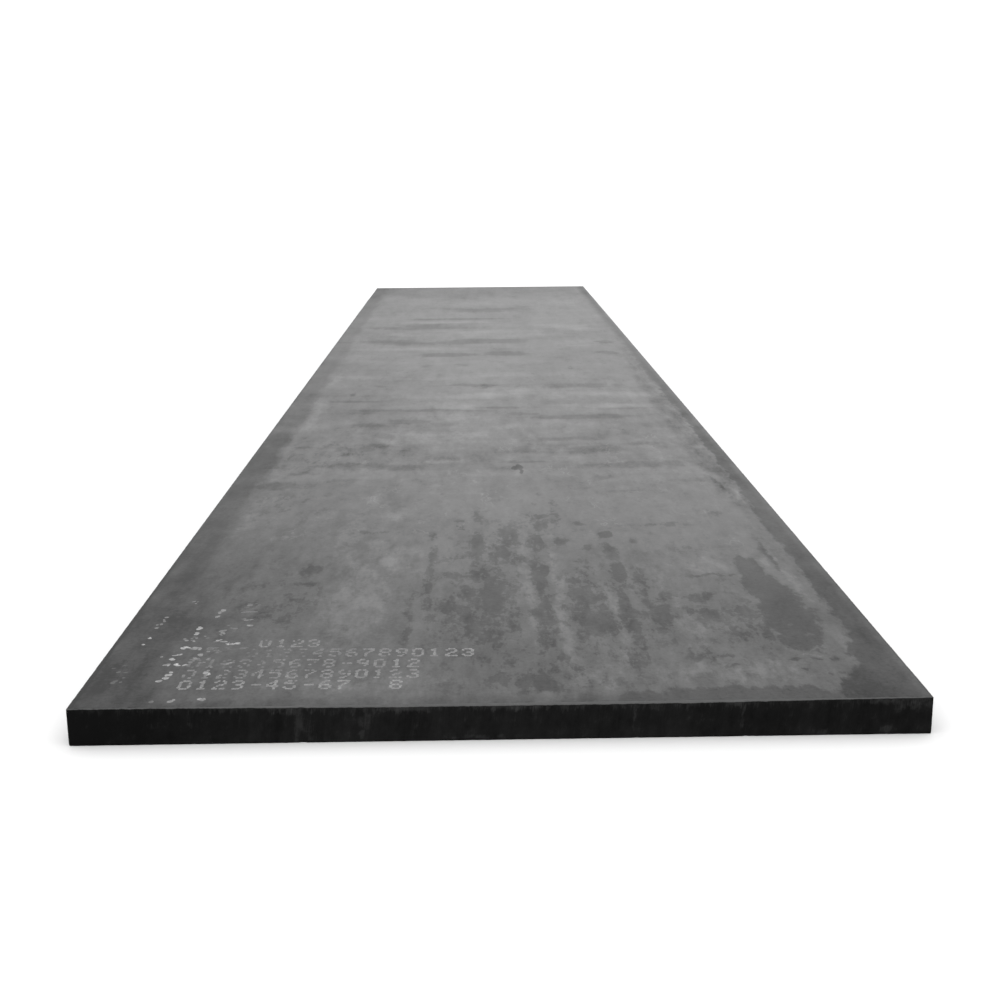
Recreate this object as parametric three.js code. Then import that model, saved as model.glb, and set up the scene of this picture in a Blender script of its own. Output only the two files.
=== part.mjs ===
// Heavy steel plate, hot rolled and gas-cut square on all four sides.
//
// Units are millimetres and +Z is up. The plate lies flat, with its underside on z = 0 and the origin at the
// middle of the underside. Its length runs along Y, with the marked end at -Y, and its width along X.
//
// The plate is one piece of metal, so it is one solid. The cut edge is drawn once, as a section that climbs
// from the underside to the top face, and the plan outline is lofted up that section. Every side of the plate
// then has the same edge, and the notches in the front cut run through it from face to face.

import * as THREE from 'three';

// The plate as it leaves the cutting bed
const PLATE_LENGTH = 11870;
const PLATE_WIDTH = 2200;
const PLATE_THICKNESS = 100;

// The cut edge: the preheat flame melts its upper corner round, and the jet leaves its lower corner nearly
// sharp. CORNER_RADIUS rounds the four upright corners, where one cut runs out into the next.
const TOP_MELT_RADIUS = 3;
const BOTTOM_EDGE_RADIUS = 1;
const CORNER_RADIUS = 5;

// Restart notches in the front cut, where the torch went out and was lit again. Each is a shallow flute that
// runs upright through the whole cut. "at" is measured from the plate's left corner, "width" along the cut
// and "depth" into it.
const RESTART_NOTCHES = [
  { at: 593, width: 22, depth: 2.5 },
  { at: 1443, width: 12, depth: 1.5 },
  { at: 1721, width: 15, depth: 2 },
];

// Every arc, in plan and in section, is divided into twice this many chords.
const ARC_DIVISIONS = 3;

const FRONT_CUT_Y = -PLATE_LENGTH / 2;
const RIGHT_ANGLE = Math.PI / 2;

// The notches that lie on the straight stretch of the front cut, between its two rounded corners.
function notchesInFrontCut() {
  const straightEnd = PLATE_WIDTH - CORNER_RADIUS;
  return RESTART_NOTCHES.filter(
    ({ at, width }) => at - width / 2 > CORNER_RADIUS && at + width / 2 < straightEnd,
  );
}

// Adds one notch to an outline that runs along the front cut towards +X. The notch is an arc about a centre
// in front of the plate. An outline set in from the cut keeps that centre and takes a larger radius.
function addNotch(outline, { at, width, depth }, inset) {
  const cutRadius = (width ** 2 / 4 + depth ** 2) / (2 * depth);
  const centreX = at - PLATE_WIDTH / 2;
  const centreY = FRONT_CUT_Y + depth - cutRadius;
  const radius = cutRadius + inset;
  const halfAngle = Math.acos((FRONT_CUT_Y + inset - centreY) / radius);
  outline.absarc(centreX, centreY, radius, RIGHT_ANGLE + halfAngle, RIGHT_ANGLE - halfAngle, true);
}

// The plate's plan, set in from the cut faces by a distance, as points that run anticlockwise from the front
// left corner. Every inset has the same number of points, so that two plans join point to point. A corner
// that the inset has used up is drawn as a tiny arc.
function planPoints(inset) {
  const halfWidth = PLATE_WIDTH / 2 - inset;
  const halfLength = PLATE_LENGTH / 2 - inset;
  const radius = Math.max(CORNER_RADIUS - inset, CORNER_RADIUS / 50);
  const left = radius - halfWidth;
  const right = halfWidth - radius;
  const front = radius - halfLength;
  const back = halfLength - radius;

  const outline = new THREE.Path();
  outline.absarc(left, front, radius, -2 * RIGHT_ANGLE, -RIGHT_ANGLE, false);
  for (const notch of notchesInFrontCut()) addNotch(outline, notch, inset);
  outline.absarc(right, front, radius, -RIGHT_ANGLE, 0, false);
  outline.absarc(right, back, radius, 0, RIGHT_ANGLE, false);
  outline.absarc(left, back, radius, RIGHT_ANGLE, 2 * RIGHT_ANGLE, false);
  return outline.getPoints(ARC_DIVISIONS);
}

// The section through the cut edge, from the underside up to the top face. In each point x is how far the
// surface is set in from the cut face, and y is its height.
function edgeSection() {
  const section = new THREE.Path();
  section.absarc(
    BOTTOM_EDGE_RADIUS, BOTTOM_EDGE_RADIUS, BOTTOM_EDGE_RADIUS, -RIGHT_ANGLE, -2 * RIGHT_ANGLE, true,
  );
  section.absarc(
    TOP_MELT_RADIUS, PLATE_THICKNESS - TOP_MELT_RADIUS, TOP_MELT_RADIUS, 2 * RIGHT_ANGLE, RIGHT_ANGLE, true,
  );
  return section.getPoints(ARC_DIVISIONS);
}

// Joins outlines that lie one above the other into one closed surface, with a flat face on the lowest and on
// the highest. Each level holds its points, anticlockwise from above, and its height.
function loft(levels) {
  const count = levels[0].points.length;
  const positions = levels.flatMap(({ points, height }) => points.flatMap(({ x, y }) => [x, y, height]));
  const indices = [];

  for (let level = 0; level < levels.length - 1; level += 1) {
    const lower = level * count;
    const upper = lower + count;
    for (let here = 0; here < count; here += 1) {
      const next = (here + 1) % count;
      indices.push(lower + here, lower + next, upper + next);
      indices.push(lower + here, upper + next, upper + here);
    }
  }

  const underside = THREE.ShapeUtils.triangulateShape(levels[0].points, []);
  for (const [a, b, c] of underside) indices.push(a, c, b);
  const topLevel = (levels.length - 1) * count;
  const topFace = THREE.ShapeUtils.triangulateShape(levels[levels.length - 1].points, []);
  for (const [a, b, c] of topFace) indices.push(topLevel + a, topLevel + b, topLevel + c);

  const geometry = new THREE.BufferGeometry();
  geometry.setAttribute('position', new THREE.Float32BufferAttribute(positions, 3));
  geometry.setIndex(indices);
  geometry.computeVertexNormals();
  return geometry;
}

function makePlate() {
  const levels = edgeSection().map(({ x: inset, y: height }) => ({ points: planPoints(inset), height }));
  const millScale = new THREE.MeshStandardMaterial({ color: 0x5c5d5f, roughness: 0.55, metalness: 0.6 });
  const plate = new THREE.Mesh(loft(levels), millScale);
  plate.name = 'steel_plate';
  return plate;
}

const part = new THREE.Group();
part.add(makePlate());

export default part;
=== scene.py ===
import math

import bpy
import numpy as np
from mathutils import Matrix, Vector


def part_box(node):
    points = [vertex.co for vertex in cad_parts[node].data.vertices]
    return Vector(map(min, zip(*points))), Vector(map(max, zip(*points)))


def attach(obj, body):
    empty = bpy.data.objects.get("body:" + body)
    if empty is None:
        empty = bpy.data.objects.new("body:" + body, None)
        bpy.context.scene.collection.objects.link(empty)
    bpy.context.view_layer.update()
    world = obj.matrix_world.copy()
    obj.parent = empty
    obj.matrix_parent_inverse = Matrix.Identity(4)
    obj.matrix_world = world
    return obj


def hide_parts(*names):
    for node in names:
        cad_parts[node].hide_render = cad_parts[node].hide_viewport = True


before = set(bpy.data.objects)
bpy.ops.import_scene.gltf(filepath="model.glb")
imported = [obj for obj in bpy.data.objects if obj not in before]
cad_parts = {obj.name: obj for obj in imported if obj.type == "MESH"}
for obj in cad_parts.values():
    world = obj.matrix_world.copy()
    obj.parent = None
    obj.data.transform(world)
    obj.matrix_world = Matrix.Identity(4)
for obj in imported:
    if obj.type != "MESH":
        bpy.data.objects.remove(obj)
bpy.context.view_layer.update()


# ------------------------------------------------------------------------------------------------
# Camera
# A person's view from just off the cut end, looking along the plate and a little down on it. The
# places are in metres and the turns in degrees, in the plate's own frame.
# ------------------------------------------------------------------------------------------------
CAMERA_PLACE = (-0.055, -9.301, 1.442)
CAMERA_TURN_RIGHT = 0.928
CAMERA_TURN_DOWN = 13.581
CAMERA_LEAN = -0.468
CAMERA_LENS_MM = 51.04
CAMERA_SENSOR_MM = 36.0

camera_data = bpy.data.cameras.new("camera")
camera_data.sensor_width = CAMERA_SENSOR_MM
camera_data.lens = CAMERA_LENS_MM
camera_data.clip_start = 0.1
camera_data.clip_end = 500.0
camera = bpy.data.objects.new("camera", camera_data)
camera.matrix_world = (
    Matrix.Translation(CAMERA_PLACE)
    @ Matrix.Rotation(math.radians(-CAMERA_TURN_RIGHT), 4, "Z")
    @ Matrix.Rotation(math.radians(90 - CAMERA_TURN_DOWN), 4, "X")
    @ Matrix.Rotation(math.radians(CAMERA_LEAN), 4, "Z")
)
bpy.context.collection.objects.link(camera)
bpy.context.scene.camera = camera


# ------------------------------------------------------------------------------------------------
# Floor and light
# A plain pale floor in an evenly white room, lit by the room and by one large soft light overhead.
# ------------------------------------------------------------------------------------------------
FLOOR_HALF_WIDTH = 150.0
FLOOR_GREY = 0.86
FLOOR_ROUGHNESS = 0.9
FLOOR_DROP = 0.0005  # below the plate's underside, so that the two faces don't lie in one plane
ROOM_BRIGHTNESS = 1.3
LIGHT_HEIGHT = 7.0
LIGHT_WIDTH = 8.0
LIGHT_LENGTH = 16.0
LIGHT_WATTS = 100.0


def flat_square(name, half_width, height):
    """A level square of that half width, centred on the origin."""
    corners = half_width * np.array([(-1, -1), (1, -1), (1, 1), (-1, 1)], float)
    mesh = bpy.data.meshes.new(name)
    mesh.from_pydata([(x, y, height) for x, y in corners], [], [(0, 1, 2, 3)])
    square = bpy.data.objects.new(name, mesh)
    bpy.context.collection.objects.link(square)
    return square


floor = flat_square("floor", FLOOR_HALF_WIDTH, -FLOOR_DROP)
floor_paint = bpy.data.materials.new("floor paint")
floor_paint.use_nodes = True
floor_shader = floor_paint.node_tree.nodes["Principled BSDF"]
floor_shader.inputs["Base Color"].default_value = (FLOOR_GREY, FLOOR_GREY, FLOOR_GREY, 1)
floor_shader.inputs["Roughness"].default_value = FLOOR_ROUGHNESS
floor_shader.inputs["Specular IOR Level"].default_value = 0.0
floor.data.materials.append(floor_paint)

room = bpy.data.worlds.new("white room")
room.use_nodes = True
room.node_tree.nodes["Background"].inputs["Color"].default_value = (1, 1, 1, 1)
room.node_tree.nodes["Background"].inputs["Strength"].default_value = ROOM_BRIGHTNESS
bpy.context.scene.world = room

soft_light_data = bpy.data.lights.new("soft light", "AREA")
soft_light_data.shape = "RECTANGLE"
soft_light_data.size = LIGHT_WIDTH
soft_light_data.size_y = LIGHT_LENGTH
soft_light_data.energy = LIGHT_WATTS
soft_light = bpy.data.objects.new("soft light", soft_light_data)
soft_light.location = (0, 0, LIGHT_HEIGHT)
bpy.context.collection.objects.link(soft_light)

bpy.context.scene.view_settings.view_transform = "Standard"


# ------------------------------------------------------------------------------------------------
# The plate
# One slab of mild steel, rolled hot between wide rolls and then cut square on all four sides by
# gas torches, which melt the top corner round. It lies on its underside and nothing is fixed to it.
# ------------------------------------------------------------------------------------------------
MELT_RADIUS = 0.003
BOTTOM_RADIUS = 0.001
CORNER_RADIUS = 0.005
SHARPEST_CORNER = 0.0004
RIM_INSETS = (0.0065, 0.014)  # two flat rows inside the rounded edge, which keep the faces level
RIM_FOLLOWS = (0.8, 0.3)  # how much of the cut's unevenness those rows still follow
CUT_ROW_HEIGHTS = (0.002, 0.005, 0.009, 0.015, 0.025, 0.04, 0.055, 0.07, 0.083, 0.091)
MELT_STEPS = 4
CELLS_ACROSS, COLUMNS_PER_CELL_ACROSS = 44, 12
CELLS_ALONG, COLUMNS_PER_CELL_ALONG = 198, 5
CORNER_STEPS = 4
# Where the torch stopped and was lit again: metres from the left cut, width and depth in metres.
RESTART_NOTCHES = ((0.593, 0.022, 0.0025), (1.443, 0.012, 0.0015), (1.721, 0.015, 0.002))
# How far the torch, the melted corner and the slag under the cut wander from true, and between
# which lengths the waves of each lie, in metres.
TORCH_WANDER, TORCH_WAVES = 0.0007, (0.03, 0.4)
MELT_WANDER, MELT_WAVES = 0.0011, (0.012, 0.12)
MELT_SAG, SAG_WAVES = 0.0006, (0.01, 0.08)
DROSS_DEPTH, DROSS_HEIGHT, BEAD_WAVES = 0.0009, 0.006, (0.012, 0.05)
DRAG_LAG = 0.12  # how far the cut trails behind the torch, for each metre below the top
FLATNESS = 0.0008
BORDER_ACROSS, BORDER_ALONG = 0.05, 0.06  # how far in the rolled faces' coarse grids begin
SEED = 20
# The sheet that an export bakes the finish onto, in pixels: its size and margin, where each part
# of the surface begins on it, and how many pixels each metre of that part gets.
SHEET_SIZE, SHEET_MARGIN = 1024, 4
FINE_LENGTH, FINE_PIXELS = 2.4, 300  # the front of the top face, up to so many metres from the cut
REST_START, REST_PIXELS_ACROSS, REST_PIXELS_ALONG = 676, 118, 105
UNDERSIDE_START, UNDERSIDE_PIXELS = 740, 55
SHORT_CUTS_START, SHORT_CUTS_STEP, SHORT_CUTS_PIXELS_UP = 870, 32, 450
LONG_CUTS_START, LONG_CUTS_STEP, LONG_CUTS_PIXELS_UP, LONG_CUTS_PIXELS_ALONG = 955, 20, 250, 84

plate_low, plate_high = (np.array(corner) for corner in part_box("steel_plate"))
half_width, half_length = (plate_high - plate_low)[:2] / 2
thickness = plate_high[2] - plate_low[2]
rng = np.random.default_rng(SEED)


def uneven(along, around, shortest_and_longest, depth=0.0, waves=28):
    """Smooth unevenness between 0 and 1 that closes on itself round the plate: the mean of sines
    whose lengths lie between the two given and whose phases are random, each one set back by
    DRAG_LAG for each metre of depth below the top."""
    lengths = np.exp(rng.uniform(*np.log(shortest_and_longest), waves))
    turns = np.round(around / lengths)[:, None]
    phases = rng.uniform(0, 2 * math.pi, waves)[:, None]
    place = along + DRAG_LAG * depth
    mean = np.sin(2 * math.pi * turns * place.ravel() / around + phases).sum(0) / math.sqrt(waves)
    return (0.5 + 0.35 * mean).clip(0, 1).reshape(place.shape)


def plate_path():
    """The columns of the edge, anticlockwise from the front left corner: for each one the centre
    of its corner's arc, or the place beside it on a straight, and its outward direction."""
    x_end, y_end = half_width - CORNER_RADIUS, half_length - CORNER_RADIUS
    across = np.linspace(-x_end, x_end, CELLS_ACROSS * COLUMNS_PER_CELL_ACROSS + 1)
    along = np.linspace(-y_end, y_end, CELLS_ALONG * COLUMNS_PER_CELL_ALONG + 1)
    bend = np.linspace(0, math.pi / 2, CORNER_STEPS + 1)[1:-1]
    straights = (
        np.stack([across, np.full_like(across, -y_end)], 1),
        np.stack([np.full_like(along, x_end), along], 1),
        np.stack([across[::-1], np.full_like(across, y_end)], 1),
        np.stack([np.full_like(along, -x_end), along[::-1]], 1),
    )
    centres, directions = [], []
    for side, straight in enumerate(straights):
        facing = side * math.pi / 2 - math.pi / 2
        angles = np.concatenate([np.full(len(straight), facing), facing + bend])
        centres.append(np.concatenate([straight, np.repeat(straight[-1:], len(bend), 0)]))
        directions.append(np.stack([np.cos(angles), np.sin(angles)], 1))
    return np.concatenate(centres), np.concatenate(directions)


def edge_section():
    """The rows of the edge from the underside to the top face: how far each lies in from the cut,
    how high, how much it follows the cut's unevenness, and how much of the melted corner it has."""
    rows = [(inset, 0.0, follows, 0.0) for inset, follows in zip(RIM_INSETS[::-1], RIM_FOLLOWS[::-1])]
    for angle in np.linspace(0, math.pi / 2, 3):
        rows.append((BOTTOM_RADIUS * (1 - math.sin(angle)), BOTTOM_RADIUS * (1 - math.cos(angle)), 1, 0))
    rows += [(0.0, height, 1.0, 0.0) for height in CUT_ROW_HEIGHTS]
    for angle in np.linspace(0, math.pi / 2, MELT_STEPS + 1):
        melted = math.sin(angle)
        height = thickness - MELT_RADIUS * (1 - melted)
        rows.append((MELT_RADIUS * (1 - math.cos(angle)), height, 1, melted))
    rows += [(inset, thickness, follows, 0.0) for inset, follows in zip(RIM_INSETS, RIM_FOLLOWS)]
    return np.array(rows).T


def flatness(x, y):
    """How far the rolled faces dip at a place, from 0 to FLATNESS: long low waves from the rolls."""
    lengthwise = np.sin(x * 2.1 + 0.6 * np.sin(y * 0.9)) * np.sin(y * 1.15 + 0.4)
    crosswise = np.sin(y * 3.4 + 1.1 * np.sin(x * 1.7))
    return FLATNESS * (0.5 + 0.3 * lengthwise + 0.2 * crosswise)


def edge_surface():
    """The edge as a grid of points, rows up the section by columns round the plate. A column's
    point moves in by the cut's unevenness, the notches, the melted corner's and the dross's."""
    centres, directions = plate_path()
    inset, height, follows, melted = edge_section()[:, :, None]
    radius = np.maximum(CORNER_RADIUS - inset, SHARPEST_CORNER)
    shrink_x = (half_width - inset - radius) / (half_width - CORNER_RADIUS)
    shrink_y = (half_length - inset - radius) / (half_length - CORNER_RADIUS)
    outermost = centres + CORNER_RADIUS * directions
    steps = np.linalg.norm(np.diff(outermost, axis=0, append=centres[:1]), axis=1)
    along = np.concatenate([[0], np.cumsum(steps)[:-1]])[None, :] + 0 * height
    around = steps.sum()
    depth = thickness - height

    from_left = centres[:, 0] + half_width
    on_front = directions[:, 1] < -0.999
    notches = np.zeros(len(centres))
    for place, width, deep in RESTART_NOTCHES:
        across = np.clip((from_left - place) / (width / 2), -1, 1)
        notches += np.where(on_front, deep * (1 - across**2), 0)

    wander = TORCH_WANDER * uneven(along, around, TORCH_WAVES, depth)
    melt = MELT_WANDER * uneven(along, around, MELT_WAVES)
    from_bead = (height - DROSS_HEIGHT / 2) / (DROSS_HEIGHT / 2)
    beads = uneven(along, around, BEAD_WAVES) ** 3 * np.exp(-(from_bead**2))
    under = DROSS_DEPTH * np.exp(-height / DROSS_HEIGHT)
    inward = follows * (wander + notches[None, :] + melted * melt) + follows * under * (1 - beads)
    from_corner = half_width + half_length - 2 * CORNER_RADIUS - np.abs(centres).sum(1)
    inward = np.minimum(inward, 0.5 * radius + from_corner)  # so that no row folds over at a corner
    x = centres[:, 0] * shrink_x + directions[:, 0] * (radius - inward)
    y = centres[:, 1] * shrink_y + directions[:, 1] * (radius - inward)
    top_dip = np.where(height > thickness / 2, flatness(x, y), 0) * (melted > 0.99)
    top_dip += np.where(height >= thickness, flatness(x, y), 0) * (melted <= 0.99)
    z = height - melted * MELT_SAG * uneven(along, around, SAG_WAVES) - top_dip
    return np.stack([x, y, z], 2), along, around


def baking_layout(points, corners, sizes, along, around):
    """Where each corner of each face lies on the square sheet that an export bakes the finish onto.
    The front of the top face has the finest marks, so it gets the most pixels. Beside it stand the
    rest of the top and the two long cuts, and above it lie the underside and the two short cuts."""
    first = np.cumsum(sizes) - sizes
    middles = np.add.reduceat(points[corners], first) / sizes[:, None]
    _, mean_y, mean_z = np.repeat(middles, sizes, axis=0).T
    x, y = points[corners, 0] + half_width, points[corners, 1] + half_length
    front = np.stack([FINE_PIXELS * x, FINE_PIXELS * y], 1) + SHEET_MARGIN
    rest_x = REST_START + REST_PIXELS_ACROSS * x
    rest = np.stack([rest_x, SHEET_MARGIN + REST_PIXELS_ALONG * (y - FINE_LENGTH)], 1)
    under = np.stack([SHEET_MARGIN + UNDERSIDE_PIXELS * y, UNDERSIDE_START + UNDERSIDE_PIXELS * x], 1)
    in_front = (mean_y + half_length < FINE_LENGTH)[:, None]
    sheet = np.where(mean_z[:, None] < thickness / 2, under, np.where(in_front, front, rest))

    inset, height = edge_section()[:2]
    up = np.concatenate([[0], np.cumsum(np.hypot(np.diff(inset), np.diff(height)))])
    columns_across = CELLS_ACROSS * COLUMNS_PER_CELL_ACROSS + CORNER_STEPS
    columns_along = CELLS_ALONG * COLUMNS_PER_CELL_ALONG + CORNER_STEPS
    side_columns = 2 * [columns_across, columns_along]
    side = np.repeat(np.arange(4), side_columns)
    start = along[np.cumsum(side_columns) - side_columns][side]
    reach = np.stack([along, np.append(along[1:], around)], 1) - start[:, None]
    reach = np.broadcast_to(reach[None, :, [0, 1, 1, 0]], (len(up) - 1, len(along), 4))
    climb = np.stack([up[:-1], up[:-1], up[1:], up[1:]], 1)[:, None, :]
    climb = np.broadcast_to(climb, reach.shape)
    side = side[None, :, None]
    short_y = SHORT_CUTS_START + SHORT_CUTS_STEP * side + SHORT_CUTS_PIXELS_UP * climb
    short = np.stack([SHEET_MARGIN + FINE_PIXELS * reach, short_y], 3)
    long_x = LONG_CUTS_START + LONG_CUTS_STEP * side - LONG_CUTS_PIXELS_UP * climb
    long = np.stack([long_x, SHEET_MARGIN + LONG_CUTS_PIXELS_ALONG * reach], 3)
    cuts = np.where((side % 2 == 0)[..., None], short, long).reshape(-1, 2)
    sheet[: len(cuts)] = cuts
    return sheet / SHEET_SIZE


def plate_mesh():
    """A closed skin: the edge's grid, a coarser grid for each rolled face, and a border of polygons
    that joins each coarse cell's side to the edge columns beside it."""
    edge, along, around = edge_surface()
    rows, columns = edge.shape[:2]
    inner_x = np.linspace(-1, 1, CELLS_ACROSS + 1) * (half_width - BORDER_ACROSS)
    inner_y = np.linspace(-1, 1, CELLS_ALONG + 1) * (half_length - BORDER_ALONG)
    grid_x, grid_y = np.meshgrid(inner_x, inner_y, indexing="ij")
    underside = np.stack([grid_x, grid_y, np.zeros_like(grid_x)], 2)
    top = np.stack([grid_x, grid_y, thickness - flatness(grid_x, grid_y)], 2)
    points = np.concatenate([part.reshape(-1, 3) for part in (edge, underside, top)])

    ids = np.arange(rows * columns).reshape(rows, columns)
    beside = np.roll(ids, -1, axis=1)
    faces = [np.stack([ids[:-1], beside[:-1], beside[1:], ids[1:]], 2).reshape(-1, 4)]
    face_rows = [np.repeat(np.arange(rows - 1), columns)]

    first_under, first_top = rows * columns, rows * columns + grid_x.size
    for first, ring, flip in ((first_under, ids[0], True), (first_top, ids[-1], False)):
        cell = first + np.arange(grid_x.size).reshape(grid_x.shape)
        quads = np.stack([cell[:-1, :-1], cell[1:, :-1], cell[1:, 1:], cell[:-1, 1:]], 2).reshape(-1, 4)
        borders = (cell[:, 0], cell[-1, :], cell[::-1, -1], cell[0, ::-1])
        start = 0
        groups = [quads]
        for border in borders:
            cells = len(border) - 1
            per_cell = COLUMNS_PER_CELL_ACROSS if cells == CELLS_ACROSS else COLUMNS_PER_CELL_ALONG
            outer = start + per_cell * np.arange(cells)[:, None] + np.arange(per_cell + 1)[None, :]
            groups.append(np.concatenate([ring[outer], border[1:, None], border[:-1, None]], 1))
            start += cells * per_cell
            bend = (start + np.arange(CORNER_STEPS + 1)) % columns
            groups.append(np.concatenate([ring[bend], border[-1:]])[None, :])
            start += CORNER_STEPS
        faces += [group[:, ::-1] if flip else group for group in groups]
        face_rows += [np.full(len(group), -1) for group in groups]

    sizes = np.concatenate([np.full(len(group), group.shape[1]) for group in faces])
    corners = np.concatenate([group.ravel() for group in faces])
    row = np.concatenate(face_rows)
    on_cut = (row >= len(RIM_INSETS)) & (row < rows - 2 - len(RIM_INSETS))
    mesh = bpy.data.meshes.new("plate skin")
    mesh.vertices.add(len(points))
    mesh.vertices.foreach_set("co", points.astype(np.float32).ravel())
    mesh.loops.add(int(sizes.sum()))
    mesh.loops.foreach_set("vertex_index", corners.astype(np.int32))
    mesh.polygons.add(len(sizes))
    mesh.polygons.foreach_set("loop_start", (np.cumsum(sizes) - sizes).astype(np.int32))
    mesh.polygons.foreach_set("use_smooth", np.ones(len(sizes), bool))
    mesh.polygons.foreach_set("material_index", on_cut.astype(np.int32))
    layout = baking_layout(points, corners, sizes, along[0], around)
    sheet = mesh.uv_layers.new(name="OFBake", do_init=False)
    sheet.data.foreach_set("uv", layout.astype(np.float32).ravel())
    mesh.update(calc_edges=True)
    mesh.validate()
    return mesh


plate = bpy.data.objects.new("plate_skin", plate_mesh())
bpy.context.collection.objects.link(plate)
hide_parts("steel_plate")
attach(plate, "root")


# The rolled faces' finish is mill scale: a thin dark grey oxide from the hot rolling, dull and
# cloudy, darker along the cuts, stained lengthwise near the front where it lay wet, and banded
# crosswise further back.
SCALE_ALBEDO = 0.087
STAIN_LOSS = 0.62  # the share of its lightness that the scale loses where it is fully stained
DUST_GAIN = 0.45
FRONT_ROUGHNESS, FAR_ROUGHNESS = 0.47, 0.37
STAIN_ROUGHNESS = 0.10
SCALE_SPECULAR = 0.1
DARKEST_SCALE = 0.012
SCALE_RELIEF = 0.00025
BAND_SPREAD = 3.4  # the bands widen with their distance from so many metres before the front cut
LEFT_BORDER, RIGHT_BORDER = 0.125, 0.108  # how wide the darker borders along the two cuts are
# Solid pools, patchier stains, stained ground and light patches: metres from the left cut, metres
# from the front cut, half width, half length, and depth from 0 to 1.
POOLS = (
    (1.951, 1.165, 0.055, 0.16, 1.0), (1.967, 0.9, 0.082, 0.25, 1.0), (1.97, 0.65, 0.096, 0.24, 1.0),
    (1.96, 0.46, 0.075, 0.1, 0.9), (1.505, 1.635, 0.027, 0.055, 1.0), (1.51, 1.15, 0.029, 0.12, 1.0),
    (1.09, 0.9, 0.045, 0.24, 0.75), (1.605, 0.74, 0.028, 0.09, 0.66), (1.71, 0.0, 0.33, 0.1, 1.0),
    (1.45, 0.0, 0.06, 0.08, 0.8), (1.135, 1.4, 0.03, 0.11, 0.7), (1.262, 1.56, 0.018, 0.09, 0.8),
    (1.231, 2.812, 0.018, 0.062, 1.0), (1.215, 0.13, 0.04, 0.06, 0.8), (1.262, 1.18, 0.02, 0.09, 0.7),
    (1.215, 2.79, 0.017, 0.036, 0.85), (1.237, 2.725, 0.011, 0.06, 0.9),
)
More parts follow.
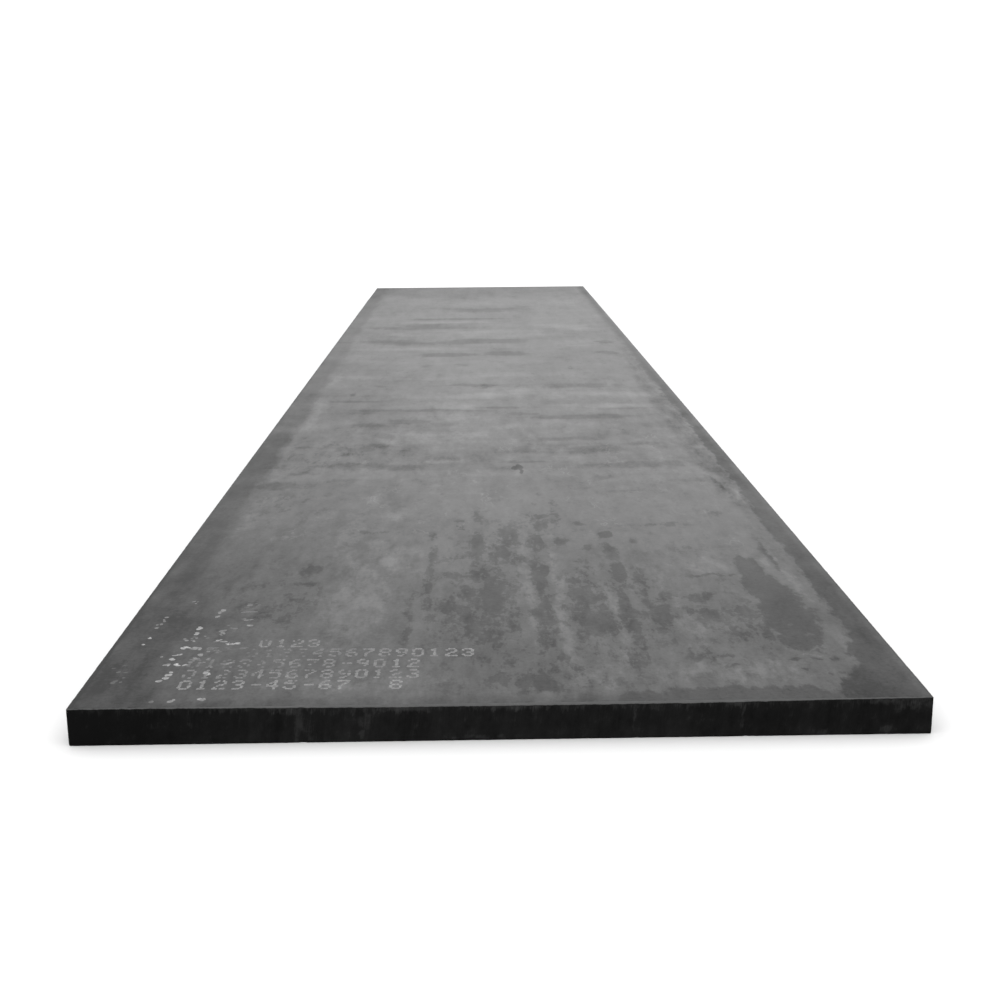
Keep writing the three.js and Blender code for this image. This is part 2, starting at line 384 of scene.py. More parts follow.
STAINS = (
    (0.485, 1.22, 0.038, 0.055, 0.6), (0.485, 0.89, 0.045, 0.032, 0.45), (0.43, 0.7, 0.1, 0.12, 0.25),
    (0.885, 1.1, 0.02, 0.52, 0.62), (0.96, 1.14, 0.09, 0.04, 0.6), (1.045, 1.93, 0.02, 0.12, 0.75),
    (1.04, 1.5, 0.024, 0.2, 0.75), (0.98, 1.76, 0.024, 0.03, 0.6), (1.14, 1.66, 0.032, 0.11, 0.75),
    (1.13, 1.4, 0.042, 0.15, 0.6), (1.03, 1.12, 0.06, 0.06, 0.75), (1.08, 0.9, 0.075, 0.28, 0.6),
    (1.06, 0.6, 0.08, 0.16, 0.55), (0.95, 0.76, 0.05, 0.26, 0.35), (1.27, 1.92, 0.036, 0.04, 0.9),
    (1.262, 1.79, 0.016, 0.13, 0.75), (1.25, 1.52, 0.026, 0.14, 0.7), (1.245, 1.12, 0.024, 0.24, 0.8),
    (1.24, 0.64, 0.028, 0.28, 0.7), (1.335, 1.88, 0.015, 0.15, 0.75), (1.335, 1.56, 0.03, 0.05, 0.8),
    (1.38, 0.95, 0.045, 0.26, 0.6), (1.39, 0.66, 0.07, 0.14, 0.75), (1.425, 1.79, 0.018, 0.035, 0.85),
    (1.43, 1.46, 0.02, 0.04, 0.7), (1.505, 1.43, 0.024, 0.1, 0.8), (1.5, 0.66, 0.026, 0.3, 0.75),
    (1.57, 1.08, 0.02, 0.15, 0.6), (1.59, 0.7, 0.04, 0.14, 0.65), (1.6, 1.55, 0.014, 0.035, 0.7),
    (1.62, 0.87, 0.03, 0.055, 0.7), (1.74, 0.86, 0.055, 0.05, 0.7), (1.73, 0.7, 0.04, 0.06, 0.8),
    (1.76, 1.42, 0.09, 0.09, 0.5), (1.73, 1.765, 0.13, 0.03, 0.6), (1.76, 1.79, 0.045, 0.036, 0.65),
    (1.82, 1.105, 0.1, 0.022, 0.85), (0.66, 1.7, 0.085, 0.028, 0.6), (2.045, 1.3, 0.01, 0.28, 0.75),
    (1.18, 0.16, 0.09, 0.08, 0.6), (1.66, 0.34, 0.04, 0.06, 0.6), (0.32, 4.84, 0.016, 0.07, 0.8),
    (1.1, 5.12, 0.05, 0.09, 0.75), (1.67, 5.85, 0.045, 0.08, 0.7), (1.35, 2.14, 0.018, 0.06, 0.6),
    (1.96, 1.93, 0.03, 0.05, 0.55), (1.8, 0.48, 0.03, 0.08, 0.3), (1.48, 0.3, 0.03, 0.06, 0.5),
    (0.495, 1.07, 0.036, 0.03, 0.5), (0.83, 0.64, 0.018, 0.3, 0.5), (1.14, 0.62, 0.03, 0.16, 0.5),
    (1.912, 0.293, 0.024, 0.012, 0.85), (1.924, 0.222, 0.014, 0.012, 0.7),
    (1.973, 0.291, 0.018, 0.012, 0.7), (2.018, 0.289, 0.012, 0.012, 0.75),
    (1.981, 0.175, 0.014, 0.014, 0.75), (2.02, 0.183, 0.014, 0.016, 0.7),
    (1.733, 0.325, 0.024, 0.012, 0.7), (1.735, 0.254, 0.02, 0.01, 0.6), (1.786, 0.568, 0.01, 0.022, 0.7),
    (1.875, 0.5, 0.03, 0.08, 0.4), (1.99, 0.36, 0.02, 0.016, 0.7), (1.855, 0.7, 0.02, 0.04, 0.4),
    (0.899, 2.306, 0.011, 0.032, 0.55), (0.885, 2.184, 0.01, 0.026, 0.6),
    (1.297, 2.285, 0.013, 0.032, 0.6), (1.345, 2.127, 0.015, 0.036, 0.8),
    (1.268, 2.114, 0.014, 0.034, 0.7), (1.275, 1.916, 0.025, 0.034, 0.85),
    (1.343, 1.905, 0.018, 0.065, 0.85), (0.977, 1.856, 0.024, 0.018, 0.7),
    (0.978, 1.752, 0.025, 0.016, 0.75), (1.05, 2.002, 0.026, 0.018, 0.7),
    (1.043, 1.861, 0.017, 0.036, 0.75), (1.293, 1.795, 0.012, 0.05, 0.8), (1.152, 1.53, 0.04, 0.09, 0.75),
    (1.172, 1.64, 0.022, 0.08, 0.7), (0.882, 1.64, 0.018, 0.07, 0.65), (2.05, 2.497, 0.01, 0.1, 0.75),
    (2.067, 2.382, 0.012, 0.064, 0.75), (2.07, 2.228, 0.012, 0.05, 0.6), (1.868, 0.69, 0.04, 0.12, 0.95),
    (1.85, 1.01, 0.04, 0.11, 0.45),
)
STAINED_GROUND = (
    (1.06, 0.9, 0.21, 0.8, 1.0), (1.42, 0.75, 0.23, 0.65, 0.9), (1.78, 0.6, 0.22, 0.42, 0.6),
    (1.22, 0.22, 0.26, 0.2, 0.8), (1.2, 1.75, 0.26, 0.35, 0.45), (0.45, 0.95, 0.22, 0.4, 0.5),
    (0.25, 2.1, 0.24, 0.35, 0.45), (1.65, 2.5, 0.45, 0.3, 0.35), (0.35, 3.1, 0.3, 0.4, 0.55),
)
DUST = (
    (0.66, 0.85, 0.105, 0.42, 0.7), (0.7, 1.4, 0.15, 0.22, 0.5), (1.205, 1.05, 0.026, 0.8, 0.46),
    (1.3, 0.75, 0.024, 0.95, 0.55), (1.462, 0.75, 0.022, 0.32, 0.55), (2.062, 1.12, 0.022, 0.36, 0.45),
    (1.75, 0.2, 0.26, 0.09, 0.5), (1.8, 1.22, 0.085, 0.11, 0.38), (0.64, 2.25, 0.034, 0.13, 0.8),
    (1.38, 0.13, 0.05, 0.08, 0.5), (1.64, 1.1, 0.026, 0.2, 0.4), (0.74, 1.95, 0.045, 0.1, 0.55),
    (0.46, 2.02, 0.06, 0.06, 0.45), (0.15, 1.68, 0.03, 0.08, 0.55), (0.15, 1.92, 0.03, 0.11, 0.7),
    (0.73, 0.83, 0.024, 0.04, 0.8), (0.72, 0.16, 0.28, 0.07, 0.45), (2.1, 2.2, 0.012, 0.5, 0.35),
    (0.17, 1.9, 0.04, 0.3, 0.48), (0.17, 2.7, 0.05, 0.3, 0.25), (0.16, 4.3, 0.05, 0.45, 0.8),
    (0.17, 5.45, 0.04, 0.25, 0.6), (1.9, 3.05, 0.08, 0.25, 0.25), (1.66, 0.6, 0.06, 0.3, 0.35),
    (1.877, 0.648, 0.012, 0.016, 0.75), (1.993, 0.505, 0.018, 0.013, 0.75),
    (1.96, 0.574, 0.01, 0.013, 0.6), (2.071, 0.82, 0.016, 0.03, 0.5), (2.015, 1.255, 0.016, 0.06, 0.55),
    (1.961, 0.325, 0.04, 0.008, 0.6), (0.795, 2.721, 0.036, 0.06, 0.65), (0.921, 2.694, 0.01, 0.045, 0.6),
    (1.035, 2.54, 0.01, 0.035, 0.8), (0.77, 2.057, 0.036, 0.04, 0.55), (1.195, 1.387, 0.012, 0.023, 0.9),
    (1.15, 2.24, 0.05, 0.03, 0.45), (0.575, 1.7, 0.055, 0.36, 0.56), (0.64, 1.25, 0.05, 0.2, 0.55),
    (0.13, 0.8, 0.065, 0.13, 0.85), (0.34, 0.8, 0.036, 0.06, 0.6), (0.08, 0.34, 0.055, 0.09, 0.85),
    (1.315, 0.2, 0.042, 0.15, 0.62), (1.445, 0.33, 0.028, 0.055, 0.8), (1.4, 0.25, 0.08, 0.1, 0.4),
    (0.9, 2.96, 0.12, 0.06, 0.7), (0.62, 3.45, 0.11, 0.23, 0.5),
)
BANDS = (
    (0.48, 2.86, 0.2, 0.085, 1.0), (0.7, 2.84, 0.08, 0.08, 0.75), (0.16, 2.85, 0.07, 0.06, 0.75),
    (0.2, 2.49, 0.11, 0.085, 1.0), (0.5, 2.58, 0.11, 0.06, 0.65), (1.75, 2.85, 0.26, 0.09, 0.75),
    (1.28, 2.93, 0.14, 0.04, 0.75), (2.0, 2.52, 0.11, 0.06, 0.75), (1.58, 2.59, 0.05, 0.05, 0.7),
    (0.4, 3.19, 0.13, 0.12, 0.62), (0.23, 3.3, 0.14, 0.045, 0.62), (0.6, 3.36, 0.07, 0.07, 0.62),
    (1.4, 3.43, 0.28, 0.05, 0.95), (1.3, 3.23, 0.16, 0.12, 0.65), (1.62, 3.2, 0.14, 0.12, 0.68),
    (1.85, 3.32, 0.11, 0.06, 0.8), (0.7, 3.97, 0.11, 0.075, 1.0), (0.42, 3.9, 0.16, 0.06, 0.45),
    (1.6, 4.04, 0.27, 0.065, 0.95), (1.27, 4.17, 0.07, 0.05, 0.8), (0.74, 4.31, 0.32, 0.045, 0.85),
    (1.2, 4.36, 0.17, 0.045, 0.8), (1.86, 4.29, 0.22, 0.04, 0.75), (0.33, 4.6, 0.14, 0.04, 0.6),
    (0.45, 5.15, 0.06, 0.08, 0.75), (0.98, 5.17, 0.2, 0.06, 0.6), (1.62, 5.11, 0.3, 0.1, 0.6),
    (0.7, 6.02, 0.05, 0.11, 0.75), (0.93, 6.02, 0.05, 0.11, 0.75), (1.22, 6.18, 0.09, 0.09, 0.8),
    (0.85, 6.55, 0.22, 0.1, 0.9), (1.28, 6.58, 0.19, 0.1, 0.95), (1.05, 7.26, 0.36, 0.21, 1.0),
    (0.4, 7.25, 0.4, 0.2, 0.65), (0.55, 8.22, 0.44, 0.22, 0.9), (0.8, 8.8, 0.5, 0.08, 0.8),
    (1.15, 9.5, 0.46, 0.22, 0.75), (1.4, 9.65, 0.19, 0.18, 0.6), (2.03, 7.15, 0.06, 0.12, 0.8),
    (1.98, 6.6, 0.07, 0.12, 0.75), (1.57, 2.57, 0.036, 0.03, 0.9), (1.65, 2.32, 0.066, 0.03, 0.7),
    (1.97, 2.5, 0.07, 0.026, 0.9), (0.26, 2.71, 0.11, 0.06, 0.8),
)
LIGHT_BANDS = (
    (1.2, 4.75, 0.85, 0.16, 0.62), (0.5, 3.74, 0.22, 0.09, 0.8), (0.85, 3.6, 0.2, 0.1, 0.7),
    (1.75, 4.42, 0.3, 0.07, 0.75), (0.8, 6.85, 0.8, 0.12, 0.55), (0.45, 7.72, 0.29, 0.17, 0.75),
    (1.5, 7.8, 0.65, 0.33, 0.6), (1.9, 10.0, 0.12, 0.44, 0.65), (0.9, 8.55, 0.55, 0.1, 0.75),
    (0.5, 5.45, 0.45, 0.16, 0.6), (0.8, 5.7, 0.42, 0.16, 0.55), (1.45, 5.6, 0.55, 0.2, 0.5),
    (1.3, 5.0, 0.3, 0.12, 0.7), (1.8, 8.15, 0.25, 0.3, 0.75), (1.8, 7.15, 0.2, 0.2, 0.6),
    (0.91, 3.0, 0.13, 0.75, 0.42), (0.91, 4.3, 0.15, 0.6, 0.5),
)


class Wire:
    """One output of a shader node. Arithmetic on wires and numbers adds Math nodes."""

    def __init__(self, tree, socket=None):
        self.tree, self.socket = tree, socket

    def node(self, kind, settings=None, values=None, output=0):
        """Adds a node, makes its settings, then gives its sockets their values or links."""
        made = self.tree.nodes.new(kind)
        for name, value in (settings or {}).items():
            setattr(made, name, value)
        for name, value in (values or {}).items():
            if isinstance(value, Wire):
                self.tree.links.new(value.socket, made.inputs[name])
            else:
                made.inputs[name].default_value = value
        return Wire(self.tree, made.outputs[output])

    def math(self, operation, *values):
        """A Math node on those wires and numbers."""
        return self.node("ShaderNodeMath", {"operation": operation}, dict(enumerate(values)))

    def vector_math(self, operation, *values, output=0):
        """A Vector Math node on this place and those values."""
        values = dict(enumerate((self, *values)))
        return self.node("ShaderNodeVectorMath", {"operation": operation}, values, output)

    def __add__(self, other):
        return self.math("ADD", self, other)

    def __sub__(self, other):
        return self.math("SUBTRACT", self, other)

    def __rsub__(self, other):
        return self.math("SUBTRACT", other, self)

    def __mul__(self, other):
        return self.math("MULTIPLY", self, other)

    __radd__ = __add__
    __rmul__ = __mul__

    def ease(self, start, end, low=0.0, high=1.0):
        """Goes smoothly from low to high while this wire goes from start to end."""
        values = {"Value": self, "From Min": start, "From Max": end, "To Min": low, "To Max": high}
        return self.node("ShaderNodeMapRange", {"interpolation_type": "SMOOTHSTEP"}, values)

    def axis(self, name):
        """One coordinate of this place."""
        return self.node("ShaderNodeSeparateXYZ", None, {0: self}, name)

    def times_plus(self, factors, shift):
        """This place times one number for each axis, plus another."""
        return self.vector_math("MULTIPLY_ADD", factors, shift)

    def cloud(self, waves, detail=4.0, roughness=0.55, shift=(0, 0, 0), output=0):
        """Noise from 0 to 1 at this place, with so many waves in each metre along x, y and z."""
        values = {"Vector": self.times_plus(waves, shift), "Scale": 1.0}
        values.update({"Detail": detail, "Roughness": roughness})
        return self.node("ShaderNodeTexNoise", None, values, output)

    def ragged(self, waves, reach):
        """This place moved by noise, up to that reach along each axis, so that outlines turn ragged."""
        noise = self.cloud(waves, 5, 0.62, output="Color")
        push = noise.times_plus([2 * most for most in reach], [-most for most in reach])
        return self.vector_math("ADD", push)

    def marks(self, marks, spread=1.5):
        """The strongest of some oval marks at this place. Each mark is its centre, half width, half
        length and depth. It is a cone with a round tip, as high as the depth, which falls to
        nothing about spread times those halves from the centre."""
        nearest = 1.0
        for x, y, half_x, half_y, depth in marks:
            scale_x, scale_y = 1 / (spread * half_x), 1 / (spread * half_y)
            offset = self.times_plus((scale_x, scale_y, 0), (-x * scale_x, -y * scale_y, 1 - depth))
            distance = offset.vector_math("LENGTH", output="Value")
            nearest = self.math("MINIMUM", distance, nearest)
        return 1 - nearest


def new_material(name):
    """A material with one Principled shader. Returns it, the shader and the place on the piece."""
    material = bpy.data.materials.new(name)
    material.use_nodes = True
    shader = material.node_tree.nodes["Principled BSDF"]
    place = Wire(material.node_tree).node("ShaderNodeTexCoord", output="Object")
    return material, shader, place


def feed(shader, socket, wire):
    """Lets a wire set one of the shader's sockets."""
    wire.tree.links.new(wire.socket, shader.inputs[socket])


def grey(value):
    """The same number in red, green and blue."""
    return value.node("ShaderNodeCombineColor", None, {"Red": value, "Green": value, "Blue": value})


def feed_relief(shader, relief):
    """Bumps the surface by a height in metres."""
    values = {"Strength": 1.0, "Distance": 1.0, "Height": relief}
    feed(shader, "Normal", relief.node("ShaderNodeBump", None, values, "Normal"))


def rolled_finish():
    """Colour, roughness and relief of the scale. The underside has only the plain part of it."""
    material, shader, place = new_material("mill scale")
    place = place.times_plus((1, 1, 1), (float(half_width), float(half_length), 0))
    across, along = place.axis("X"), place.axis("Y")
    on_top = place.axis("Z").ease(0.4 * float(thickness), 0.6 * float(thickness))
    near = along.ease(3.0, 1.4)
    middle = along.ease(1.0, 2.2) * along.ease(4.5, 3.0)
    away = along.ease(2.5, 6.0)
    far = along.ease(3.0, 8.0)
    ragged = place.ragged((22, 8, 5), (0.022, 0.055, 0))
    soft = place.ragged((4, 8, 5), (0.14, 0.09, 0))

    # Pools and stains where water stood, and pale dust, all of them towards the front.
    blotches = place.cloud((9, 4.4, 5), 6, 0.65) - 0.5
    patchy = place.cloud((32, 13, 5), 6, 0.64) - 0.5
    fine = place.cloud((70, 40, 5), 4, 0.65) - 0.5
    lean = 4.0 * patchy + 1.0 * fine
    pools = (2.4 * ragged.marks(POOLS, 1.25) + 0.5 * lean + 1.6 * blotches).ease(0.34, 0.86)
    reach = ragged.marks(STAINS)
    ground = soft.marks(STAINED_GROUND)
    patchy_stains = (reach + 0.30 * ground + lean).ease(0.20, 0.65)
    patchy_stains = patchy_stains * (0.18 + 0.26 * (reach + ground).ease(0.1, 0.7)) + 0.16 * reach
    stains = patchy_stains.math("MAXIMUM", patchy_stains, (0.84 - 0.28 * near) * pools)
    dust_noise = place.cloud((26, 10, 5), 6, 0.66, (7, 3, 0)) - 0.5
    dust = (ragged.marks(DUST) + 1.8 * dust_noise).ease(0.12, 0.68)

    # Bands across the plate, wider and softer towards the back.
    recede = along.math("LOGARITHM", along + BAND_SPREAD, math.e)
    receding = place.node("ShaderNodeCombineXYZ", None, {"X": across, "Y": recede})
    cross = receding.cloud((1.4, 22, 1), 3, 0.55) - 0.5
    mottle = receding.cloud((12, 24, 1), 6, 0.66, (2, 8, 0)) - 0.5
    rough_edges = (1.2 - 0.8 * far) * mottle + (1.7 - 0.2 * far) * cross
    patches = receding.cloud((4.4, 13, 1), 7, 0.68, (5, 5, 0)) - 0.5
    bands = (soft.marks(BANDS) + rough_edges).ease(0.18, 0.70)
    light_bands = (soft.marks(LIGHT_BANDS) - rough_edges).ease(0.20, 0.85)
    banded = (0.42 + 0.10 * far) * bands - 0.32 * light_bands + (1.2 - 0.4 * away) * cross
    banded = banded + (1.15 - 0.40 * away) * patches + (1.7 + 0.3 * middle - 1.0 * away) * mottle

    # Darker borders and a little soot along the long cuts, a darker front end, and painted shade at the
    # far end.
    edge_wave = ragged.cloud((7, 2.2, 5), 6, 0.65) - 0.5
    from_right = 2 * float(half_width) - across
    left_width = LEFT_BORDER + along.ease(1.4, 0.6, 0, 0.050)
    inside_left = across + 0.16 * edge_wave - left_width
    blurred = along.ease(1.9, 0.9)
    left = blurred * inside_left.ease(0.085, -0.060) + (1 - blurred) * inside_left.ease(0.032, -0.032)
    left = left * (0.59 - 0.15 * near + 0.38 * middle + 0.11 * along.ease(0.4, 0.1))
    right_width = RIGHT_BORDER - along.ease(0.0, 3.4, 0, 0.040) + along.ease(0.26, 0.04, 0, 0.095)
    right_width = right_width + along.ease(0.60, 0.26, 0, 0.024)
    right_width = right_width - along.ease(0.30, 0.60, 0, 0.013) * along.ease(1.6, 1.2)
    right = (from_right + 0.045 * edge_wave + 0.09 * patchy - right_width) * (1 - 0.72 * far)
    right = right.ease(0.011, -0.011) * (0.92 - 0.30 * far) * (1 - 0.35 * from_right.ease(0.036, 0.012))
    sides = left.math("MAXIMUM", left, right)
    strip = from_right + 0.05 * edge_wave
    strip = strip.ease(0.062, 0.090) * strip.ease(0.200, 0.135)
    strip = strip * along.ease(1.6, 2.3) * along.ease(9.0, 4.0) * (0.36 + 2.0 * mottle)
    soot = across.ease(0.017, 0.004) * along.ease(0.9, 0.3, 1.0, 2.0)
    soot = soot + 0.35 * from_right.ease(0.010, 0.002)
    front = (along + 0.06 * edge_wave).ease(0.075, 0.02)
    # Painted shade: the scale darkens towards the far cut over its last 1.7 m.
    back = along.ease(10.2, 11.5)
    dim_left = across.ease(1.0, 0.1) * (1 - 0.4 * far)

    # Thin light curls in the middle, and clouds, streaks, speckle and grain over everything.
    curl = place.cloud((9, 4, 5), 3, 0.55, (1, 6, 0)) - 0.5
    curls = curl.math("ABSOLUTE", curl).ease(0.016, 0.004) * patches.ease(0.02, 0.12)
    curls = curls * along.ease(1.2, 1.7) * along.ease(5.0, 3.2)
    clouds = place.cloud((1.6, 1.0, 5), 5, 0.6) - 0.5
    streaks = place.cloud((22, 6.0, 5), 6, 0.62, (3, 9, 0)) - 0.5
    speckle = place.cloud((75, 45, 5), 4, 0.6).ease(0.56, 0.68) * along.ease(1.3, 0.2)
    grain = place.cloud((70, 70, 70), 5, 0.7) - 0.5

    # All of it together: how much darker and how much lighter the scale is than plain scale.
    marked = stains * (1 - sides)
    marked = marked.math("MAXIMUM", marked, 0.42 * front)
    dark = (
        marked.math("MAXIMUM", marked, sides)
        + 0.6 * soot
        + 0.35 * back
        + strip
        + 0.52 * dim_left
        + (0.7 - 0.42 * sides) * (1 - near) * banded
        + 0.22 * speckle
        + near * streaks * (1.6 - 1.1 * pools) * (1 - 0.7 * sides)
        # Painted sheen: a little darker within the first metre, and lighter from about 3.4 to 10.5 m
        # back, as part of the brightening towards the back.
        + along.ease(1.1, 0.4, 0, 0.10)
        + along.ease(3.4, 4.8, 0, -0.13) * along.ease(10.5, 7.0)
        + 1.0 * clouds
        + blotches * (1.4 - 0.8 * pools - 0.9 * far)
        + 0.6 * near * mottle
        + (0.9 - 0.6 * far) * grain
    )
    light = (dust + 1.0 * curls) * (1 - sides)
    plain = 0.35 + 1.4 * clouds + 1.4 * blotches + 0.9 * grain
    dark = on_top * dark + (1 - on_top) * plain
    tone = SCALE_ALBEDO * (1 - STAIN_LOSS * dark) * (1 + DUST_GAIN * (on_top * light))
    tone = tone.math("MAXIMUM", tone, DARKEST_SCALE)
    feed(shader, "Base Color", grey(tone))
    dulled = stains + (1 - near) * (banded + 0.3 * left + 0.9 * right)
    dulled = dulled + 0.18 * dim_left + 0.3 * back + strip
    roughness = along.ease(0.6, 2.4, FRONT_ROUGHNESS, FAR_ROUGHNESS)
    feed(shader, "Roughness", roughness + STAIN_ROUGHNESS * (on_top * dulled))
    shader.inputs["Specular IOR Level"].default_value = SCALE_SPECULAR

    feed_relief(shader, SCALE_RELIEF * place.cloud((34, 26, 30), 5, 0.65))
    return material


plate.data.materials.append(rolled_finish())


# The cut faces' finish is what an oxygen jet leaves: a near-black matt oxide with fine upright drag
# lines, and flaking grey under the melted corner. Along the melted corner of the two short cuts runs
# a painted highlight, a band as light as the top face.
SOOT_ALBEDO = 0.0064
FLAKE_ALBEDO = 0.0095
PALE_ALBEDO = 0.010
# Painted highlight: the lightness of the band along the melted corner of the short cuts.
LIP_HIGHLIGHT_ALBEDO = 0.09
CUT_ROUGHNESS, CUT_SPECULAR = 0.8, 0.05
DARKEST_SOOT = 0.003
LIP_BAND_DEPTH = 0.0052  # how much further down the painted highlight and the flakes reach in the middle of the front
DRAG_RELIEF, CUT_RELIEF = 0.0005, 0.0008
# Paler upright stripes and patches on the front cut: metres from the left cut, metres below the
# top, half width, half height, and depth from 0 to 1.
PALE_MARKS = (
    (0.593, 0.05, 0.012, 0.08, 0.62), (0.62, 0.07, 0.03, 0.03, 0.3), (0.76, 0.03, 0.025, 0.04, 0.45),
    (0.752, 0.08, 0.009, 0.012, 0.9), (1.443, 0.045, 0.006, 0.07, 0.4), (1.721, 0.045, 0.006, 0.08, 0.46),
    (1.7, 0.008, 0.03, 0.01, 0.8), (2.1, 0.008, 0.1, 0.014, 0.55), (2.15, 0.018, 0.05, 0.022, 0.5),
    (1.93, 0.09, 0.026, 0.01, 0.65), (2.095, 0.086, 0.022, 0.01, 0.7), (1.05, 0.09, 0.1, 0.006, 0.5),
    (0.56, 0.012, 0.06, 0.012, 0.6), (0.85, 0.01, 0.06, 0.009, 0.85), (1.13, 0.01, 0.08, 0.012, 0.6),
)


def cut_finish():
    """Colour and relief of the burnt steel, on a place that follows the trailing drag lines."""
    material, shader, place = new_material("gas-cut oxide")
    place = place.times_plus((1, 1, 1), (float(half_width), float(half_length), 0))
    across, along = place.axis("X"), place.axis("Y")
    depth = float(thickness) - place.axis("Z")
    length = 2 * float(half_length)
    on_front = along.ease(0.04, 0.02)
    on_short_cuts = on_front + along.ease(length - 0.02, length - 0.006)
    trail = across + along + DRAG_LAG * depth
    cut = trail.node("ShaderNodeCombineXYZ", None, {"X": trail, "Y": depth})

    # Fine drag lines, broader columns, pale marks, and flakes that hang under the lip.
    drag = cut.cloud((420, 14, 1), 4, 0.7) - 0.5
    columns = cut.cloud((12, 1.5, 1), 6, 0.66) - 0.5
    mottle = cut.cloud((40, 30, 1), 6, 0.65) - 0.5
    ragged = cut.ragged((60, 40, 1), (0.012, 0.012, 0))
    pale = (ragged.marks(PALE_MARKS) + 2.0 * mottle + 1.0 * drag).ease(0.15, 0.70) * on_front
    below_lip = depth - LIP_BAND_DEPTH * on_front * across.ease(0.10, 0.95) * across.ease(2.2, 1.5)
    flakes = (below_lip + 0.10 * (cut.cloud((75, 16, 1), 5, 0.72) - 0.5)).ease(0.016, 0.006)
    flakes = flakes * (cut.cloud((22, 9, 1), 5, 0.68) + 0.6 * drag).ease(0.42, 0.60)
    glow = 1 - on_front * (across.ease(0.62, 0.0, 0, 0.62) + across.ease(1.2, 1.9, 0, 0.24))

    soot = SOOT_ALBEDO * glow * (1 + 2.2 * columns + 1.6 * mottle + 0.8 * drag)
    # Painted light: towards the foot of the cut the soot is painted up to 30% lighter, against the
    # darkening near the floor.
    soot = soot * depth.ease(0.055, 0.095, 1.0, 1.3)
    # Painted highlight: a band as light as the top face along the melted corner of the two short cuts,
    # reaching further down in the middle of the front.
    lip_highlight = (below_lip + 0.003 * drag + 0.006 * mottle).ease(0.0032, 0.0004) * on_short_cuts
    tone = soot + FLAKE_ALBEDO * flakes * (0.35 + 0.65 * glow) + PALE_ALBEDO * pale + LIP_HIGHLIGHT_ALBEDO * lip_highlight
    tone = tone.math("MAXIMUM", tone, DARKEST_SOOT)
    feed(shader, "Base Color", grey(tone))
    shader.inputs["Roughness"].default_value = CUT_ROUGHNESS
    shader.inputs["Specular IOR Level"].default_value = CUT_SPECULAR

    feed_relief(shader, DRAG_RELIEF * drag + CUT_RELIEF * cut.cloud((40, 12, 1), 4))
    return material


plate.data.materials.append(cut_finish())


# ------------------------------------------------------------------------------------------------
# The painted marks
# Rows of digits that a marking machine sprayed on the top face as dots of pale grey paint, and
# beside them what is left of an older, brighter marking. Both have worn.
# ------------------------------------------------------------------------------------------------
DIGITS = (
    "01110 10001 10001 10001 10001 10001 01110", "00100 01100 00100 00100 00100 00100 01110",
    "01110 10001 00001 00110 01000 10000 11111", "01110 10001 00001 00110 00001 10001 01110",
    "00010 00110 01010 10010 11111 00010 00010", "11111 10000 11110 00001 00001 10001 01110",
    "00110 01000 10000 11110 10001 10001 01110", "11111 00001 00010 00100 01000 01000 01000",
    "01110 10001 10001 01110 10001 10001 01110", "01110 10001 10001 01111 00001 00010 01100",
)
DASH = "00000 00000 00000 01111 00000 00000 00000"
# Rows of digits: metres from the left cut and from the front cut to the first digit's lower left
# corner, the digits, and the share of the paint that is left at the row's start and end.
PRINTED_ROWS = (
    (0.256, 0.132, "0123-45-67  8", 0.90, 1.00), (0.252, 0.212, "01234567890123", 0.65, 0.80),
    (0.250, 0.294, "012345678-9012", 0.40, 0.90), (0.398, 0.376, "01234567890123", 0.40, 0.98),
    (0.422, 0.454, "0123", 0.75, 0.85),
)
DIGIT_PITCH = 0.0463
DOT_PITCH_ACROSS, DOT_PITCH_ALONG = 0.0063, 0.0094
DOT_HALF_ACROSS, DOT_HALF_ALONG = 0.0051, 0.0066  # the head moved while it sprayed
DOT_JITTER = 0.0005
ROW_SLOPE = -0.03  # the rows run a little askew to the front cut
PAINT_HEIGHT = 0.00012
PAINT_SUNK = 0.00004  # how far a dot's underside lies in the plate, so that none floats
DOT_SIDES = 8
DOT_ROWS = 7  # in a digit
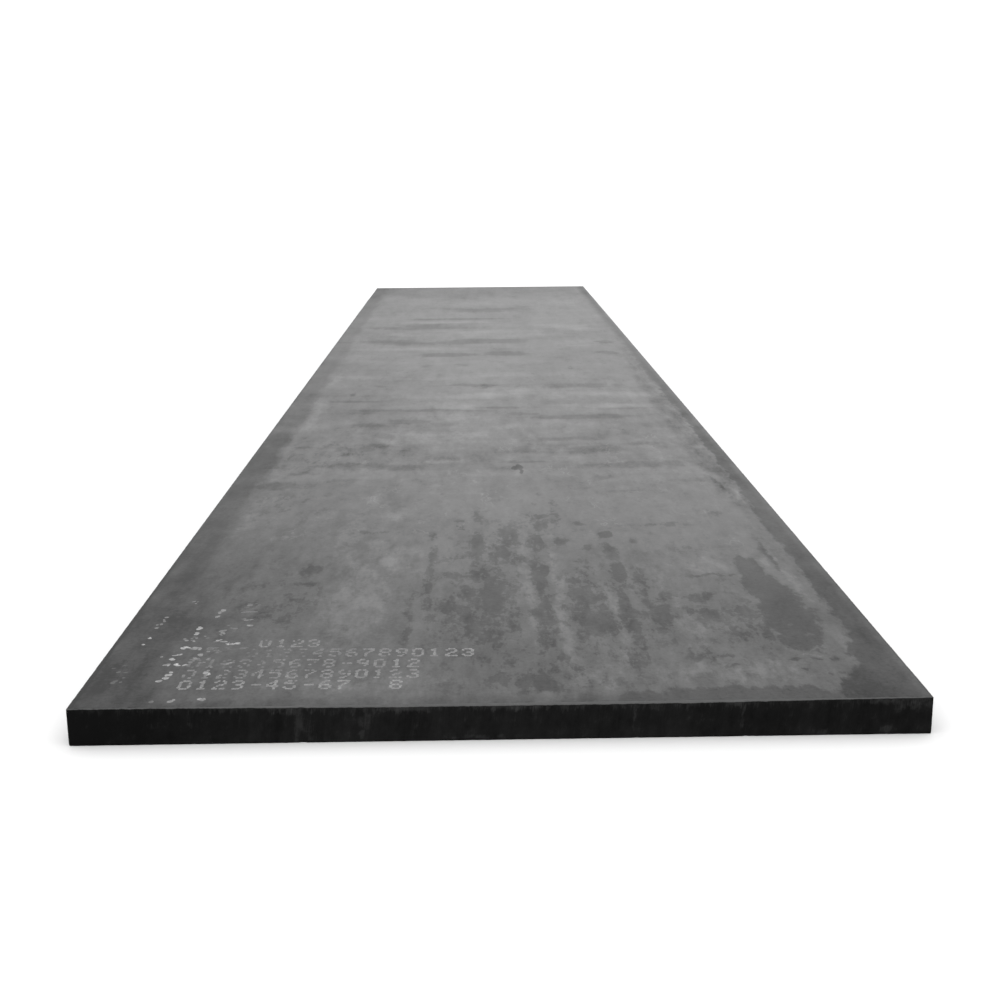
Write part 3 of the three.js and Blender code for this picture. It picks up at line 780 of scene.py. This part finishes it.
# What is left of the older marking: the lowest and highest place across and along, how many
# flecks, their longest half length across and along, and their lightness.
OLD_FLECKS = (
    (0.083, 0.096, 0.48, 0.55, 3, 0.007, 0.01, 1.2), (0.088, 0.104, 0.63, 0.78, 8, 0.007, 0.01, 0.8),
    (0.15, 0.17, 0.82, 0.89, 3, 0.007, 0.01, 0.7), (0.255, 0.272, 0.72, 0.81, 5, 0.008, 0.012, 0.9),
    (0.28, 0.302, 0.56, 0.66, 6, 0.008, 0.012, 1.1), (0.288, 0.318, 0.5, 0.52, 5, 0.009, 0.008, 1.1),
    (0.214, 0.226, 0.55, 0.66, 6, 0.008, 0.013, 1.3), (0.175, 0.235, 0.5, 0.54, 6, 0.008, 0.008, 0.8),
    (0.325, 0.366, 0.84, 0.86, 5, 0.01, 0.007, 0.6), (0.322, 0.366, 0.77, 0.78, 6, 0.012, 0.006, 0.6),
    (0.335, 0.37, 0.69, 0.71, 6, 0.01, 0.007, 0.7), (0.356, 0.378, 0.64, 0.65, 5, 0.01, 0.01, 1.1),
    (0.318, 0.358, 0.476, 0.49, 9, 0.011, 0.008, 1.3), (0.204, 0.222, 0.444, 0.46, 6, 0.01, 0.011, 1.9),
    (0.23, 0.256, 0.43, 0.475, 7, 0.009, 0.01, 1.0), (0.265, 0.32, 0.41, 0.45, 8, 0.01, 0.008, 0.6),
    (0.345, 0.39, 0.43, 0.45, 4, 0.01, 0.007, 0.6), (0.194, 0.212, 0.39, 0.4, 4, 0.01, 0.008, 1.0),
    (0.155, 0.163, 0.37, 0.38, 2, 0.008, 0.009, 1.2), (0.19, 0.205, 0.35, 0.365, 4, 0.009, 0.009, 1.3),
    (0.25, 0.282, 0.32, 0.4, 9, 0.009, 0.01, 0.8), (0.3, 0.372, 0.315, 0.335, 7, 0.01, 0.008, 0.8),
    (0.168, 0.195, 0.305, 0.32, 5, 0.009, 0.009, 1.2), (0.212, 0.222, 0.308, 0.32, 4, 0.009, 0.01, 1.9),
    (0.236, 0.244, 0.31, 0.32, 2, 0.008, 0.01, 1.2), (0.202, 0.214, 0.21, 0.27, 7, 0.009, 0.013, 1.4),
    (0.188, 0.197, 0.165, 0.195, 4, 0.008, 0.011, 1.1), (0.305, 0.316, 0.235, 0.25, 3, 0.009, 0.011, 1.2),
    (0.326, 0.341, 0.046, 0.06, 4, 0.009, 0.01, 1.2), (0.254, 0.263, 0.044, 0.056, 3, 0.008, 0.01, 1.1),
    (0.206, 0.218, 0.035, 0.048, 2, 0.008, 0.008, 0.5), (0.045, 0.1, 0.18, 0.34, 8, 0.007, 0.01, 0.3),
    (0.262, 0.35, 0.4, 0.455, 13, 0.012, 0.007, 0.45), (0.235, 0.3, 0.33, 0.365, 8, 0.012, 0.007, 0.7),
    (0.215, 0.262, 0.52, 0.62, 6, 0.006, 0.009, 0.45), (0.3, 0.33, 0.56, 0.67, 4, 0.009, 0.009, 0.55),
)


def printed_dots():
    """Every dot that is left of the printed digits: its centre, half sizes, turn and lightness."""
    dots = []
    for left, front, text, start_share, end_share in PRINTED_ROWS:
        for place, digit in enumerate(text):
            if digit == " ":
                continue
            cells_by_row = DASH if digit == "-" else DIGITS[int(digit)]
            share = start_share + (end_share - start_share) * place / len(text)
            worn_digit = (0.4 + 0.6 * share) * rng.uniform(0.85, 1.1)
            for row, cells in enumerate(cells_by_row.split()):
                for column, cell in enumerate(cells):
                    lasting, lightness = rng.uniform(0, 1), rng.uniform(0.75, 1.15)
                    if cell == "1" and lasting < worn_digit:
                        x = left + DIGIT_PITCH * place + DOT_PITCH_ACROSS * column
                        y = front + DOT_PITCH_ALONG * (DOT_ROWS - 1 - row) + ROW_SLOPE * (x - left)
                        lightness *= 0.2 + 0.8 * share
                        dots.append((x, y, DOT_HALF_ACROSS, DOT_HALF_ALONG, 0.0, lightness))
    dots = np.array(dots)
    dots[:, :2] += rng.uniform(-DOT_JITTER, DOT_JITTER, (len(dots), 2))
    dots[:, 2:4] *= rng.uniform(0.75, 1.15, (len(dots), 2))
    return dots


def old_flecks():
    """The flecks of the older marking, in the same columns as printed_dots gives."""
    flecks = []
    for low_x, high_x, low_y, high_y, count, half_x, half_y, lightness in OLD_FLECKS:
        x, y = rng.uniform(low_x, high_x, count), rng.uniform(low_y, high_y, count)
        sizes = rng.uniform(0.45, 1.0, (2, count)) * np.array([[half_x], [half_y]])
        turns, shades = rng.uniform(-0.7, 0.7, count), lightness * rng.uniform(0.6, 1.25, count)
        flecks.append(np.stack([x, y, *sizes, turns, shades], 1))
    return np.concatenate(flecks)


def paint_mesh(dots):
    """A low drum for each dot: a ring of DOT_SIDES points in the plate's skin, a slightly smaller
    and wavier ring above it, and a face below, above and round them."""
    count = len(dots)
    angles = np.linspace(0, 2 * math.pi, DOT_SIDES, endpoint=False)[None, :]
    wave = 1 + rng.uniform(-0.16, 0.16, (count, DOT_SIDES))
    turn = dots[:, 4:5]
    height = PAINT_HEIGHT * rng.uniform(0.7, 1.3, (count, 1))
    rings = []
    for share, lift in ((1.0, -PAINT_SUNK), (0.88, height)):
        x = share * wave * dots[:, 2:3] * np.cos(angles)
        y = share * wave * dots[:, 3:4] * np.sin(angles)
        place_x = dots[:, 0:1] - half_width + x * np.cos(turn) - y * np.sin(turn)
        place_y = dots[:, 1:2] - half_length + x * np.sin(turn) + y * np.cos(turn)
        level = thickness - flatness(place_x, place_y) + lift
        rings.append(np.stack([place_x, place_y, level], 2))
    points = np.stack(rings, 1).reshape(-1, 3)
    first = 2 * DOT_SIDES * np.arange(count)[:, None]
    here = np.arange(DOT_SIDES)
    after = np.roll(here, -1)
    walls = np.stack([here, after, DOT_SIDES + after, DOT_SIDES + here], 1).ravel()
    walls = (first + walls[None, :]).reshape(-1, 4)
    mesh = bpy.data.meshes.new("paint marks")
    faces = [*walls.tolist(), *(first + here[::-1]).tolist(), *(first + DOT_SIDES + here).tolist()]
    mesh.from_pydata(points.tolist(), [], faces)
    lightness = mesh.attributes.new("lightness", "FLOAT", "POINT")
    lightness.data.foreach_set("value", np.repeat(dots[:, 5], 2 * DOT_SIDES).astype(np.float32))
    mesh.validate()
    return mesh


paint = bpy.data.objects.new("paint_marks", paint_mesh(np.concatenate([printed_dots(), old_flecks()])))
bpy.context.collection.objects.link(paint)
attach(paint, "root")


# The finish is thin, dusty, pale grey paint that the scale shows through where it has worn.
PAINT_ALBEDO = 0.245
WORN_ALBEDO = 0.10
WORN_SHARE = 0.6  # how much of the paint is gone where it has worn most
FRESH_ROUGHNESS, WORN_ROUGHNESS = 0.6, 0.85
PAINT_SPECULAR = 0.2


def paint_finish():
    """Colour and roughness of the paint, with each dot's own lightness."""
    material, shader, place = new_material("marking paint")
    lightness = place.node("ShaderNodeAttribute", {"attribute_name": "lightness"}, output="Fac")
    worn = place.cloud((260, 260, 260), 3, 0.6).ease(0.40, 0.64)
    tone = PAINT_ALBEDO * lightness * (1 - WORN_SHARE * worn) + WORN_ALBEDO * WORN_SHARE * worn
    feed(shader, "Base Color", grey(tone))
    feed(shader, "Roughness", FRESH_ROUGHNESS + (WORN_ROUGHNESS - FRESH_ROUGHNESS) * worn)
    shader.inputs["Specular IOR Level"].default_value = PAINT_SPECULAR
    return material


paint.data.materials.append(paint_finish())
